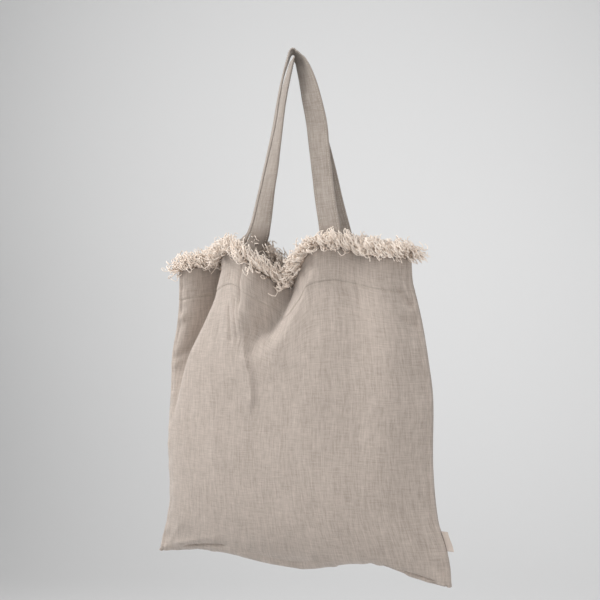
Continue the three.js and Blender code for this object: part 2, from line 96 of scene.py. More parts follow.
# Large folds of a panel: by level, the place across, the depth (below zero it stands out) and the
# reach to both sides
def fold(*rows):
    return table("level at depth left right", rows)


frontFolds = {
    "leftGroove": fold(
        (0.0, -0.7, 0.44, 0.17, 0.11),
        (0.1, -0.74, 0.45, 0.15, 0.09),
        (0.2, -0.8, 0.42, 0.13, 0.068),
        (0.3, -0.86, 0.34, 0.12, 0.055),
        (0.42, -0.91, 0.2, 0.1, 0.042),
        (0.55, -0.95, 0.0, 0.05, 0.05),
    ),
    "leftRidge": fold(
        (0.0, -0.24, -0.09, 0.15, 0.09),
        (0.12, -0.31, -0.08, 0.22, 0.1),
        (0.25, -0.36, -0.04, 0.25, 0.12),
        (0.4, -0.36, 0.0, 0.25, 0.12),
    ),
    "middleValley": fold(
        (0.0, 0.0, 0.26, 0.13, 0.15),
        (0.08, -0.02, 0.24, 0.12, 0.13),
        (0.15, -0.09, 0.205, 0.115, 0.135),
        (0.2, -0.165, 0.175, 0.11, 0.15),
        (0.25, -0.225, 0.075, 0.1, 0.16),
        (0.31, -0.235, 0.0, 0.08, 0.16),
    ),
    "rightHollow": fold(
        (0.0, 0.6, 0.05, 0.14, 0.1),
        (0.3, 0.56, 0.05, 0.16, 0.12),
        (0.7, 0.52, 0.0, 0.2, 0.14),
    ),
    "rightRoll": fold(
        (0.0, 0.84, -0.05, 0.12, 0.08),
        (0.35, 0.82, -0.05, 0.14, 0.09),
        (0.75, 0.8, 0.0, 0.14, 0.1),
    ),
}
backFolds = {
    "leftRoll": fold(
        (0.0, -0.68, 0.26, 0.17, 0.2),
        (0.15, -0.74, 0.24, 0.14, 0.24),
        (0.3, -0.78, 0.12, 0.12, 0.24),
        (0.5, -0.8, 0.0, 0.12, 0.24),
    ),
    "leftPull": fold(
        (0.0, -0.34, -0.08, 0.13, 0.12),
        (0.3, -0.38, 0.0, 0.16, 0.16),
    ),
    "middleRoll": fold(
        (0.0, 0.02, 0.15, 0.17, 0.16),
        (0.15, 0.0, 0.1, 0.2, 0.2),
        (0.38, -0.04, 0.0, 0.2, 0.2),
    ),
    "rightPull": fold(
        (0.0, 0.4, -0.07, 0.12, 0.14),
        (0.35, 0.46, 0.0, 0.16, 0.18),
    ),
    "rightRoll": fold(
        (0.0, 0.72, 0.08, 0.14, 0.12),
        (0.4, 0.7, 0.04, 0.16, 0.14),
        (0.8, 0.66, 0.0, 0.18, 0.16),
    ),
}


# Camera

camera = {
    "azimuth": 28.0,
    "distance": 1.438,
    "aside": 0.0094,
    "height": -0.351,
    "lens": 64.38,
    "shiftUp": 0.03,
}


def newObject(name, data):
    made = bpy.data.objects.new(name, data)
    bpy.context.collection.objects.link(made)
    return made


def placeCamera():
    data = bpy.data.cameras.new("camera")
    data.lens = camera["lens"]
    data.sensor_width = 36
    data.shift_y = camera["shiftUp"]
    turn = math.radians(camera["azimuth"])
    seen = newObject("camera", data)
    seen.location = (
        camera["aside"] * math.cos(turn) + camera["distance"] * math.sin(turn),
        camera["aside"] * math.sin(turn) - camera["distance"] * math.cos(turn),
        camera["height"],
    )
    seen.rotation_euler = (math.pi / 2, 0, turn)
    bpy.context.scene.camera = seen


placeCamera()


# Node trees

class Wire:
    # A socket that takes part in plain arithmetic
    def __init__(self, maker, socket):
        self.maker = maker
        self.socket = socket

    def join(self, operation, first, second):
        return self.maker.node("ShaderNodeMath", {"operation": operation}, [first, second])

    def __add__(self, other):
        return self.join("ADD", self, other)

    def __sub__(self, other):
        return self.join("SUBTRACT", self, other)

    def __rsub__(self, other):
        return self.join("SUBTRACT", other, self)

    def __mul__(self, other):
        return self.join("MULTIPLY", self, other)

    def __truediv__(self, other):
        return self.join("DIVIDE", self, other)

    def __pow__(self, other):
        return self.join("POWER", self, other)

    __radd__ = __add__
    __rmul__ = __mul__


class Maker:
    def __init__(self, tree):
        self.tree = tree

    # One node of a type: settings first, then the values or links of its sockets
    def node(self, kind, settings=None, values=(), out=0):
        made = self.tree.nodes.new(kind)
        for name, value in (settings or {}).items():
            setattr(made, name, value)
        for key, value in values.items() if isinstance(values, dict) else enumerate(values):
            if isinstance(value, Wire):
                self.tree.links.new(value.socket, made.inputs[key])
            elif value is not None:
                made.inputs[key].default_value = value
        return None if out is None else Wire(self, made.outputs[out])

    def math(self, operation, *values):
        return self.node("ShaderNodeMath", {"operation": operation}, values)

    def vector(self, operation, *values, out=0):
        return self.node("ShaderNodeVectorMath", {"operation": operation}, values, out)

    def clamp(self, value, most=1.0):
        return self.node("ShaderNodeClamp", None, [value, 0.0, most])

    def point(self, *numbers):
        return self.node("ShaderNodeCombineXYZ", None, numbers)

    def random(self, low, high, seed):
        values = {2: low, 3: high, "Seed": seed}
        return self.node("FunctionNodeRandomValue", {"data_type": "FLOAT"}, values, 1)

    def scaled(self, vector, factor):
        values = {"Vector": vector, "Scale": factor}
        return self.node("ShaderNodeVectorMath", {"operation": "SCALE"}, values)

    def blend(self, factor, first, second):
        return self.node("ShaderNodeMix", {"data_type": "RGBA"}, {0: factor, 6: first, 7: second}, 2)


# A Geometry Nodes tree with an input for the guide, the material and each setting
def newTree(name, settings):
    tree = bpy.data.node_groups.new(name, "GeometryNodeTree")
    face = tree.interface
    face.new_socket("guide", in_out="INPUT", socket_type="NodeSocketGeometry")
    face.new_socket("material", in_out="INPUT", socket_type="NodeSocketMaterial")
    for label, value in settings.items():
        kind = "NodeSocketInt" if isinstance(value, int) else "NodeSocketFloat"
        face.new_socket(label, in_out="INPUT", socket_type=kind).default_value = value
    face.new_socket("piece", in_out="OUTPUT", socket_type="NodeSocketGeometry")
    maker = Maker(tree)
    group = tree.nodes.new("NodeGroupInput")
    return maker, {socket.name: Wire(maker, socket) for socket in group.outputs if socket.name}


def finishTree(maker, geometry, material):
    real = maker.node("GeometryNodeRealizeInstances", None, [geometry])
    painted = maker.node("GeometryNodeSetMaterial", None, {"Geometry": real, "Material": material})
    maker.node("NodeGroupOutput", None, [painted], None)
    return maker.tree


# Runs a tree on a guide mesh and keeps the result as a plain piece
def grow(name, guide, tree, settings):
    holder = newObject(name + "_guide", guide)
    modifier = holder.modifiers.new("nodes", "NODES")
    modifier.node_group = tree
    for item in tree.interface.items_tree:
        if item.in_out == "INPUT" and item.name in settings:
            modifier[item.identifier] = settings[item.name]
    seen = holder.evaluated_get(bpy.context.evaluated_depsgraph_get())
    mesh = bpy.data.meshes.new_from_object(seen)
    mesh.name = name
    bpy.data.objects.remove(holder)
    return newObject(name, mesh)


# Materials

linenLook = {
    "dark": (0.3, 0.25, 0.212, 1),
    "pale": (0.6, 0.515, 0.455, 1),
    "warpPitch": 0.00092,
    "weftPitch": 0.00098,
    "slubs": 0.55,
    "mottle": 0.35,
    "weaveDepth": 0.00022,
    "roughness": 0.9,
    "gloss": {"Specular IOR Level": 0.25, "Sheen Weight": 0.3, "Sheen Roughness": 0.5},
}


def objectPlace(make):
    return make.node("ShaderNodeTexCoord", None, (), "Object")


# The numbers of a vector, first to third
def numbersOf(make, vector):
    parts = make.node("ShaderNodeSeparateXYZ", None, [vector])
    return [Wire(make, socket) for socket in parts.socket.node.outputs]


def newMaterial(name):
    material = bpy.data.materials.new(name)
    material.use_nodes = True
    material.node_tree.nodes.clear()
    return material, Maker(material.node_tree)


def closeMaterial(make, colour, roughness, normal, constants):
    shader = make.node(
        "ShaderNodeBsdfPrincipled", None,
        {"Base Color": colour, "Roughness": roughness, "Normal": normal, **constants},
    )
    make.node("ShaderNodeOutputMaterial", None, {"Surface": shader}, None)


def clothPlace(make):
    return numbersOf(make, make.node("ShaderNodeUVMap", {"uv_map": "cloth"}))[:2]


# Plain-woven linen: uneven warp and weft threads, slubs, and a mottle, and a painted shade low down if
# the look asks for one. The cloth map is in metres.
def linen(name, look):
    material, make = newMaterial(name)
    u, v = clothPlace(make)

    def noise(scaleU, scaleV, detail, seed):
        return make.node(
            "ShaderNodeTexNoise", {"noise_dimensions": "3D"},
            {
                "Vector": make.point(u * scaleU, v * scaleV, seed),
                "Scale": 1.0, "Detail": detail, "Roughness": 0.6,
            },
        )

    warpWave = noise(240, 16, 2.0, 3.1)
    weftWave = noise(16, 240, 2.0, 7.7)
    warp = u / look["warpPitch"] + warpWave * 1.6
    weft = v / look["weftPitch"] + weftWave * 1.6
    warpRound = make.math("ABSOLUTE", make.math("SINE", warp * math.pi))
    weftRound = make.math("ABSOLUTE", make.math("SINE", weft * math.pi))
    over = make.math("PINGPONG", make.math("FLOOR", warp) + make.math("FLOOR", weft), 1.0)
    weave = over * warpRound + (1 - over) * weftRound
    # slubs: long thin streaks, where a thread is thicker and paler
    warpSlub = noise(720, 62, 3.0, 1.3)
    weftSlub = noise(62, 720, 3.0, 5.9)
    wideWarp = noise(300, 17, 2.0, 11.3)
    wideWeft = noise(17, 300, 2.0, 13.9)
    streaks = warpSlub * 0.7 + weftSlub * 0.48 + wideWarp * 0.22 + wideWeft * 0.12
    mottle = noise(26, 22, 4.0, 17.0)
    tone = (streaks - 0.76) * (2.9 * look["slubs"]) + (mottle - 0.5) * look["mottle"]
    tone = make.clamp(tone + weave * 0.34 + 0.3)
    # painted shade: the left legs of the straps are darker where they go into the mouth, in the shade of
    # the bag's inside
    if "shadow" in look:
        shadow = look["shadow"]
        x, _, level = numbersOf(make, objectPlace(make))
        depth = make.clamp((shadow["from"] - level) / shadow["fade"])
        tone = tone * (1 - depth * make.math("LESS_THAN", x, 0.0))
    colour = make.blend(tone, look["dark"], look["pale"])
    fuzz = noise(2600, 2600, 2.0, 23.0)
    height = weave * 0.6 + (warpSlub + weftSlub) * 0.9 + fuzz * 0.25
    normal = make.node(
        "ShaderNodeBump", None,
        {"Strength": 0.9, "Distance": look["weaveDepth"], "Height": height},
    )
    rough = look["roughness"] + (tone - 0.5) * -0.08
    closeMaterial(make, colour, rough, normal, look["gloss"])
    return material


yarnLook = {
    # the dark brown end of the yarn's tone is painted shade, at the roots and between the curls
    "dark": (0.33, 0.205, 0.125, 1),
    "pale": (1.0, 0.89, 0.79, 1),
    "rootShade": 0.95,
    "roughness": 0.85,
    "gloss": {"Specular IOR Level": 0.2, "Sheen Weight": 0.2, "Sheen Roughness": 0.4},
}


# Loose yarn: painted shade that darkens it towards its root, and a tone by clumps, single strands and a
# chance for each yarn, which is partly the yarn's random tone and partly painted shade between the curls
def yarn(name, look):
    material, make = newMaterial(name)
    place = objectPlace(make)
    clumps = make.node("ShaderNodeTexNoise", None, {"Vector": place, "Scale": 90.0, "Detail": 3.0})
    strands = make.node("ShaderNodeTexNoise", None, {"Vector": place, "Scale": 1400.0, "Detail": 2.0})
    along, chance = clothPlace(make)
    tone = (clumps - 0.5) * 1.6 + (strands - 0.5) * 0.6 + (chance - 0.5) * 0.8
    # painted shade: each yarn is darker towards its root
    tone = make.clamp(tone + along**0.6 * look["rootShade"] + 0.27)
    colour = make.blend(tone, look["dark"], look["pale"])
    normal = make.node("ShaderNodeBump", None, {"Strength": 0.6, "Distance": 0.0003, "Height": strands})
    closeMaterial(make, colour, look["roughness"], normal, look["gloss"])
    return material


linenCloth = linen("linen_cloth", linenLook)
# The straps are the panels' linen painted darker, as painted shade for the less light they get; their
# left legs get more painted shade where they go into the mouth
shadedStrapCloth = linen("strap_cloth_painted_shade", {
    **linenLook, "dark": (0.225, 0.185, 0.155, 1), "pale": (0.43, 0.375, 0.33, 1),
    "mottle": 0.7, "slubs": 0.7, "shadow": {"from": -0.222, "fade": 0.018},
})
sewingThread = linen("sewing_thread", {
    **linenLook, "dark": (0.42, 0.36, 0.3, 1), "pale": (0.6, 0.54, 0.47, 1),
})
fringeYarn = yarn("fringe_yarn", yarnLook)
labelTape = linen("label_tape", {
    **linenLook, "dark": (0.48, 0.4, 0.345, 1), "pale": (0.66, 0.575, 0.51, 1),
    "warpPitch": 0.0005, "weftPitch": 0.0006, "slubs": 0.2, "weaveDepth": 0.0001,
})
print("materials made")


# Form of the cloth

# A smooth curve through one column of a table, read at a place of its first column
def follow(rows, place, column):
    keys, values = next(iter(rows.values())), rows[column]
    count = len(keys)
    before = np.maximum(np.arange(count) - 1, 0)
    after = np.minimum(np.arange(count) + 1, count - 1)
    slopes = (values[after] - values[before]) / (keys[after] - keys[before])
    place = np.clip(place, keys[0], keys[-1])
    i = np.clip(np.searchsorted(keys, place, side="right") - 1, 0, count - 2)
    span = keys[i + 1] - keys[i]
    t = (place - keys[i]) / span
    rise = ease(t)
    leave = (t**3 - 2 * t**2 + t) * span * slopes[i]
    arrive = (t**3 - t**2) * span * slopes[i + 1]
    return values[i] + (values[i + 1] - values[i]) * rise + leave + arrive


# A smooth step from 0 to 1
def ease(t):
    t = np.clip(t, 0, 1)
    return t * t * (3 - 2 * t)


# A round hump of height 1 over a place, or over a line
def hump(away, width):
    return np.exp(-((away / width) ** 2))


def mix(first, second, share):
    return first + (second - first) * share


def unit(vectors):
    return vectors / np.maximum(np.linalg.norm(vectors, axis=-1, keepdims=True), 1e-12)


# Smooth random heights from -1 to 1, with a knot at each whole number
def ripple(x, y, seed):
    size = 97  # knots before the pattern comes again
    knots = np.random.default_rng(seed).uniform(-1, 1, (size, size))
    x, y = np.broadcast_arrays(np.asarray(x, float), np.asarray(y, float))
    i, j = np.floor(x).astype(int), np.floor(y).astype(int)
    fx, fy = x - i, y - j
    fx, fy = (f**3 * (f * (f * 6 - 15) + 10) for f in (fx, fy))
    a, b = knots[i % size, j % size], knots[(i + 1) % size, j % size]
    c, d = knots[i % size, (j + 1) % size], knots[(i + 1) % size, (j + 1) % size]
    return mix(mix(a, b, fx), mix(c, d, fx), fy)


sides = {
    "front": {"facing": -1, "swell": "front", "rise": "frontRise", "folds": frontFolds.values()},
    "back": {"facing": 1, "swell": "back", "rise": "backRise", "folds": backFolds.values()},
}


def foldDepth(rows, at, level):
    offset = at - follow(rows, level, "at")
    left, right = (follow(rows, level, hand) for hand in ("left", "right"))
    return follow(rows, level, "depth") * hump(offset, np.where(offset < 0, left, right))


# The inner face of a panel at a place across (at) and a level below the seam tops
def depthAt(side, at, level):
    left, right = (follow(sectionRows, level, key) for key in ("turnLeft", "turnRight"))
    swell = follow(sectionRows, level, side["swell"])
    base = np.clip(1 - np.abs(at) ** bag["turnPower"], 0, 1)
    pillow = base ** np.where(at < 0, left, right)
    nearSeam = 1 - np.abs(at) ** 8
    folded = sum(foldDepth(rows, at, level) for rows in side["folds"])
    out = side["facing"] * (swell * pillow * bag["bagDepth"] + bag["pieceGap"] / 2)
    return out + folded * nearSeam * bag["bagDepth"]


# The x of a place across, between the side seams of that level
def acrossAt(at, level):
    left = -follow(sectionRows, level, "left") * halfWidth
    right = follow(sectionRows, level, "right") * halfWidth
    return mix(left, right, (at + 1) / 2)


# The z and the level of a share down the panel, which turns under at the bottom
def heightAt(side, at, down):
    fromShare = bag["roundFrom"]
    top = -seamDrop + follow(edgeRows, at, side["rise"]) * seamHeight
    bottom = -seamDrop - (1 - follow(edgeRows, at, "seamRise")) * seamHeight
    belly = np.maximum(0, follow(edgeRows, at, "belly")) * seamHeight
    fall = top - bottom + belly
    spare = belly / fall
    lowest = (1 - np.sqrt(1 - (1 - spare) * (1 + spare * fromShare**2))) / (1 - spare)
    pace = 2 / (fromShare + lowest)
    bend = pace / (2 * (lowest - fromShare))
    straight = top - fall * pace * down
    rounded = top - fall * (1 - bend * (down - lowest) ** 2)
    under = down > fromShare
    z = np.where(under, rounded, straight)
    atTurn = (-seamDrop - (top - fall * pace * fromShare)) / seamHeight
    levelUnder = mix(atTurn, 1, (down - fromShare) / (1 - fromShare))
    return z, np.where(under, levelUnder, (-seamDrop - straight) / seamHeight)


def innerPoint(side, at, down):
    at, down = np.broadcast_arrays(np.asarray(at, float), np.asarray(down, float))
    z, level = heightAt(side, at, down)
    return np.stack([acrossAt(at, level), depthAt(side, at, level), z], axis=-1)


# The outward direction of a panel's inner face
def outwardAt(side, at, down):
    step = 0.004
    at, down = np.broadcast_arrays(np.asarray(at, float), np.asarray(down, float))
    left, right = np.clip(at - step, -1, 1), np.clip(at + step, -1, 1)
    above, below = np.clip(down - step, 0, 1), np.clip(down + step, 0, 1)
    along = innerPoint(side, right, down) - innerPoint(side, left, down)
    fall = innerPoint(side, at, below) - innerPoint(side, at, above)
    outward = unit(np.cross(along, fall)) * side["facing"]
    wrong = (down > bag["roundFrom"]) & (outward[..., 1] * side["facing"] < 0)
    outward[..., 1] = np.where(wrong, 0, outward[..., 1])
    return unit(outward)


# Points and faces of a closed sheet: its two faces as grids of one size, and the rim between them
def closedSheet(first, second, turned=False):
    rows, columns = first.shape[:2]
    count = rows * columns
    index = np.arange(count).reshape(rows, columns)
    a, b, c, d = index[:-1, :-1], index[:-1, 1:], index[1:, 1:], index[1:, :-1]
    rims = [
        (index[:-1, 0], index[1:, 0]), (index[1:, -1], index[:-1, -1]),
        (index[0, 1:], index[0, :-1]), (index[-1, :-1], index[-1, 1:]),
    ]
    if turned:
        b, d = d, b
        rims = [(end, start) for start, end in rims]
    quads = [(a, b, c, d), (a + count, d + count, c + count, b + count)]
    quads += [(start, end, end + count, start + count) for start, end in rims]
    points = np.concatenate([first.reshape(-1, 3), second.reshape(-1, 3)])
    return points, np.concatenate([np.stack(quad, -1).reshape(-1, 4) for quad in quads])


# A mesh from points and faces, smooth shaded, with an optional cloth map in metres
def newMesh(name, points, faces, cloth=None):
    mesh = bpy.data.meshes.new(name)
    mesh.from_pydata(np.asarray(points).tolist(), [], np.asarray(faces).tolist())
    mesh.shade_smooth()
    if cloth is not None:
        uv = mesh.uv_layers.new(name="cloth")
        corners = np.empty(len(mesh.loops), dtype=np.int32)
        mesh.loops.foreach_get("vertex_index", corners)
        uv.data.foreach_set("uv", np.asarray(cloth, dtype=np.float32)[corners].ravel())
    mesh.update()
    return mesh


def newPiece(name, mesh, material):
    mesh.materials.append(material)
    return newObject(name, mesh)


# Panels

panel = {
    "columns": 232,
    "crowd": {"crease": -0.29, "reach": 0.18, "atCrease": 1.7, "atSeams": 1.1, "seamReach": 0.07},
    "rowsInHem": 30,
    "hemStep": (0.965, 1.035),
    "rowsInStep": 9,
    "rowsBelow": 122,
    "rowsUnder": 38,
    "pinnedEdge": 0.003,
    "stitchGroove": 0.00055,
    "stitchWidth": 0.0011,
    "hemPucker": 0.0009,
    "hemPuckerPitch": 0.0075,
    "hemPuckerReach": 0.012,
    "seamPucker": 0.0016,
    "seamPuckerAt": 0.010,
    "seamPuckerReach": 0.008,
    "seamPitch": 0.0105,
    "seamGroove": 0.0018,
    "seamBand": 0.0056,
    "seamStitchWidth": 0.0016,
    "crumple": 0.0009,
    "crumpleWide": (0.062, 0.07),
    "crumpleMiddle": (0.028, 0.034),
    "crumpleFine": (0.012, 0.016),
    "boxWidth": 0.034,
    "boxRaise": 0.0007,
    "boxInset": 0.0028,
    "boxStitchWidth": 0.0009,
    "boxTop": 0.010,
    "seed": 5,
}
strapPlaces = (-0.0685, 0.0685)


# Creases of the cloth: the rise (below zero it sinks), the reach to the left and right and the softness,
# all in millimetres, then the places across and shares down that the crease runs through
def crease(rise, left, right, soft, *run):
    return {"rise": rise, "left": left, "right": right, "soft": soft, "run": run}


frontCreases = {
    "ridgeEdge": crease(
        2.4, 12, 9, 1.8,
        (-0.2, 0.0), (-0.225, 0.04), (-0.25, 0.1), (-0.262, 0.165), (-0.25, 0.25), (-0.22, 0.31),
    ),
    "boxCrease": crease(
        -2.8, 3.2, 2.2, 0.6,
        (-0.29, 0.0), (-0.31, 0.03), (-0.328, 0.08), (-0.328, 0.165), (-0.3, 0.24),
    ),
    "bulge": crease(
        4.4, 24, 3.0, 0.9,
        (-0.33, 0.12), (-0.315, 0.2), (-0.27, 0.275), (-0.21, 0.325), (-0.195, 0.394), (-0.225, 0.47),
    ),
    "ridgeFoot": crease(
        -1.6, 4, 10, 1.5,
        (-0.17, 0.0), (-0.19, 0.06), (-0.22, 0.165), (-0.21, 0.25), (-0.19, 0.3),
    ),
    "valleyEdge": crease(
        4.0, 7, 22, 2.2,
        (0.34, -0.02), (0.3, 0.071), (0.2, 0.115), (0.11, 0.145), (0.01, 0.185), (-0.1, 0.245),
    ),
    "valleyFoot": crease(-5.0, 20, 9, 3.0, (0.02, 0.0), (-0.055, 0.086), (-0.125, 0.15), (-0.19, 0.2)),
    "pleatOne": crease(-2.4, 2.6, 3.5, 0.6, (-0.43, 0.15), (-0.37, 0.29)),
    "pleatTwo": crease(-2.5, 3, 2.6, 0.6, (-0.385, 0.12), (-0.33, 0.27)),
    "pleatThree": crease(-1.0, 3, 3, 0.8, (-0.46, 0.02), (-0.42, 0.09)),
    "grooveTuck": crease(-1.6, 3, 5, 1.2, (-0.97, 0.3), (-0.86, 0.27)),
    "leftFlange": crease(-4.6, 3, 1.8, 0.5, (-0.82, 0.944), (-0.66, 0.928), (-0.42, 0.904)),
    "leftRoll": crease(2.2, 5, 4, 2, (-0.9, 0.925), (-0.76, 0.912), (-0.6, 0.892), (-0.46, 0.885)),
    "rightFlange": crease(-6.0, 3, 1.6, 0.5, (0.45, 0.955), (0.62, 0.95), (0.8, 0.955), (0.95, 0.965)),
    "rightPullUp": crease(1.4, 5, 5, 2, (0.6, 0.965), (0.72, 0.93)),
    "middlePull": crease(1.2, 6, 6, 3, (0.1, 0.97), (0.02, 0.9)),
    "sidePinch": crease(-5.2, 2, 6, 0.6, (0.89, 0.085), (0.915, 0.104), (0.935, 0.122), (0.97, 0.15)),
    "sideTuck": crease(-4.4, 2, 6, 0.7, (0.88, 0.178), (0.93, 0.19), (0.985, 0.203)),
    "cornerPull": crease(1.6, 9, 12, 3, (0.99, 0.97), (0.8, 0.86), (0.66, 0.8)),
    "leftPull": crease(1.6, 9, 12, 3, (-0.99, 0.97), (-0.84, 0.86), (-0.74, 0.8)),
}
backCreases = {
    "leftPull": crease(1.8, 10, 8, 3, (-0.36, 0.02), (-0.42, 0.2), (-0.55, 0.4)),
    "rightPull": crease(1.8, 8, 11, 3, (0.42, 0.02), (0.5, 0.22), (0.62, 0.42)),
    "rightFan": crease(-1.4, 6, 8, 2, (0.36, 0.05), (0.3, 0.26)),
    "cornerPull": crease(1.6, 9, 12, 3, (0.99, 0.97), (0.8, 0.86), (0.66, 0.8)),
    "leftCorner": crease(1.6, 9, 12, 3, (-0.99, 0.97), (-0.84, 0.86), (-0.72, 0.78)),
}


# The height of one crease, from the nearest part of its run. It fades out at both ends, but not where
# it starts at the top edge.
def creaseHeight(line, s, t):
    run = np.array(line["run"]) * [halfWidth, seamHeight]
    steps = np.diff(run, axis=0)
    lengths = np.linalg.norm(steps, axis=1)
    total, passed = lengths.sum(), 0.0
    nearest, side, place = np.full(s.shape, np.inf), np.zeros_like(s), np.zeros_like(s)
    for (s0, t0), (ds, dt), length in zip(run, steps, lengths):
        share = np.clip(((s - s0) * ds + (t - t0) * dt) / length**2, 0, 1)
        gapS, gapT = s - s0 - share * ds, t - t0 - share * dt
        distance = np.hypot(gapS, gapT)
        closer = distance < nearest
        nearest = np.where(closer, distance, nearest)
        side = np.where(closer, gapS * dt - gapT * ds, side)
        place = np.where(closer, (passed + share * length) / total, place)
        passed += length
    soft = line["soft"] / 1000
    reach = np.where(side < 0, line["left"], line["right"]) / 1000
    away = (np.sqrt(nearest**2 + soft**2) - soft) / reach
    ends = ease((1 - place) * 5)
    if line["run"][0][1] > 0.02:
        ends = ease(place * 6) * ends
    return line["rise"] / 1000 * ends * np.exp(-away)


# How far the detailed cloth stands off the plain form, by the metres across (s) and down (t)
def reliefAt(name, at, down):
    front = name == "front"
    seed = panel["seed"] + (0 if front else 40)
    creases = frontCreases if front else backCreases
    s, t = at * halfWidth, down * seamHeight
    hem = bag["hemHeight"]
    toSeam = (1 - np.abs(at)) * halfWidth
    toBottom = (1 - down) * seamHeight
    relief = sum(creaseHeight(line, s, t) for line in creases.values())
    # soft crumple of washed linen
    wide, middle, fine = panel["crumpleWide"], panel["crumpleMiddle"], panel["crumpleFine"]
    low = ripple((s + t * 0.3) / wide[0] + 9, (t - s * 0.2) / wide[1], seed)
    low = low + ripple(s / middle[0], t / middle[1] + 4, seed + 1) * 0.3
    fine = ripple((s + t * 0.5) / fine[0], (t - s * 0.4) / fine[1], seed + 2)
    quiet = ease(np.clip(t / 0.05, 0.25, 1))
    relief += panel["crumple"] * (low * quiet + fine * 0.16)
    # the hem's stitch line, and the cloth puckered by it
    overHem = t - hem
    relief -= panel["stitchGroove"] * hump(overHem, panel["stitchWidth"])
    pucker = panel["hemPucker"] * ripple(s / panel["hemPuckerPitch"], t * 0 + 0.5, seed + 3)
    relief += pucker * np.exp(-np.abs(overHem) / panel["hemPuckerReach"])
    # side seams and the bottom seam
    for gap, along, strength in ((toSeam, t, 1.0), (toBottom, s, 0.9)):
        beside = hump(gap - panel["seamPuckerAt"], panel["seamPuckerReach"])
        pucker = ripple(along / panel["seamPitch"], gap / 0.02 + 2.5, seed + 4)
        pucker = pucker + 0.5 * ripple(along / 0.026, gap * 0, seed + 6)
        relief += panel["seamPucker"] * strength * pucker * beside
        groove = hump(gap - panel["seamBand"], panel["seamStitchWidth"])
        relief -= panel["seamGroove"] * strength * groove
        relief += panel["seamGroove"] * 0.5 * strength * (gap < panel["seamBand"])
    # the straps sewn inside the hem show as a raised box with a stitched edge
    across = acrossAt(at, np.zeros_like(at))
    for place in strapPlaces:
        inBox = np.minimum(panel["boxWidth"] / 2 - np.abs(across - place), hem - t)
        relief += panel["boxRaise"] * ease(inBox / 0.002 + 0.5)
        line = hump(inBox - panel["boxInset"], panel["boxStitchWidth"])
        relief -= panel["stitchGroove"] * 0.8 * line * (t < hem)
    return relief


# Places across and shares down of a panel's grid, closer together where the cloth is creased or sewn
def panelPlaces():
    even = np.linspace(-1, 1, 2001)
    crowd = panel["crowd"]
    dense = 1 + crowd["atCrease"] * hump(even - crowd["crease"], crowd["reach"])
    dense += crowd["atSeams"] * np.exp(-(1 - np.abs(even)) / crowd["seamReach"])
    passed = np.concatenate([[0], np.cumsum((dense[1:] + dense[:-1]) / 2)])
    ats = np.interp(np.linspace(0, passed[-1], panel["columns"] + 1), passed, even)
    stepFrom, stepTo = (hemShare * share for share in panel["hemStep"])
    hemRows = np.linspace(0, 1, panel["rowsInHem"], endpoint=False) ** 0.8 * stepFrom
    step = np.linspace(stepFrom, stepTo, panel["rowsInStep"])
    belowRows = np.linspace(stepTo, bag["roundFrom"], panel["rowsBelow"])[1:]
    underRows = np.linspace(bag["roundFrom"], 1, panel["rowsUnder"])[1:]
    return ats, np.concatenate([hemRows, step, belowRows, underRows])


# The cloth's wall, which steps up to the folded hem's
def wallAt(down):
    overHem = (down - hemShare) * seamHeight
    return mix(bag["hemWall"], bag["clothWall"], ease(overHem / bag["clothWall"] + 0.5))


def panelFaces(name, side):
    ats, downs = panelPlaces()
    at, down = np.meshgrid(ats, downs)
    inner = innerPoint(side, at, down)
    outward = outwardAt(side, at, down)
    edge = panel["pinnedEdge"]
    pinned = np.clip((1 - np.abs(at)) * halfWidth / edge, 0, 1)
    pinned = pinned * np.clip((1 - down) * seamHeight / edge, 0, 1)
    lifted = inner + outward * (reliefAt(name, at, down) * pinned)[..., None]
    return lifted, lifted + outward * wallAt(down)[..., None], at, down


def buildPanel(name, side):
    inner, outer, at, down = panelFaces(name, side)
    points, faces = closedSheet(inner, outer)
    if side["facing"] > 0:
        faces = faces[:, ::-1]
    # the threads run along the hem at the top and level further down
    settle = ease((down - 0.1) / 0.3)
    low = heightAt(side, at, down)[0] + seamDrop + seamHeight
    weft = mix((1 - down) * seamHeight, low, settle)
    cloth = np.stack([(at + 1) * halfWidth, weft + 0.02], -1).reshape(-1, 2)
    mesh = newMesh(name + "_cloth", points, faces, np.concatenate([cloth, cloth]))
    return turnOut(newPiece(name + "_cloth", mesh, linenCloth))


# A closed piece with its faces turned outwards, whichever way the grids ran
def turnOut(piece):
    mesh = piece.data
    count = len(mesh.vertices)
    points = np.empty(count * 3)
    mesh.vertices.foreach_get("co", points)
    points = points.reshape(-1, 3)
    mesh.calc_loop_triangles()
    triangles = np.empty(len(mesh.loop_triangles) * 3, dtype=np.int32)
    mesh.loop_triangles.foreach_get("vertices", triangles)
    a, b, c = (points[triangles.reshape(-1, 3)[:, k]] for k in range(3))
    if np.einsum("ij,ij->", a, np.cross(b, c)) < 0:
        mesh.flip_normals()
    return piece


panels = {word: buildPanel(word, side) for word, side in sides.items()}
print("panels made")


# Handles

strap = {
    "width": 0.034,
    "wall": 0.003,
    "drop": 0.260,
    "spread": 0.137,
    "crownRadius": 0.0024,
    "crownPitch": 0.039,
    "crownTurn": -62.0,
    "tuck": 0.033,
    "leadIn": 0.024,
    "seatGap": 0.00115,
    "legRows": 150,
    "sewnRows": 16,
    "crownRows": 18,
    "columns": 26,
    "edgePower": 9,
    "edgeStitch": 0.0032,
    "stitchGroove": 0.00035,
    "stitchWidth": 0.0009,
    "crumple": 0.0005,
    "crumpleSize": (0.018, 0.03),
    "puckerSize": (0.02, 0.0065),
    "puckerReach": 0.004,
    "stillEnds": 0.03,
    "seed": 31,
}


# The way of one leg: by share of the drop, the share of the way out and the turn in degrees
def leg(*rows):
    return table("drop out turn", rows)


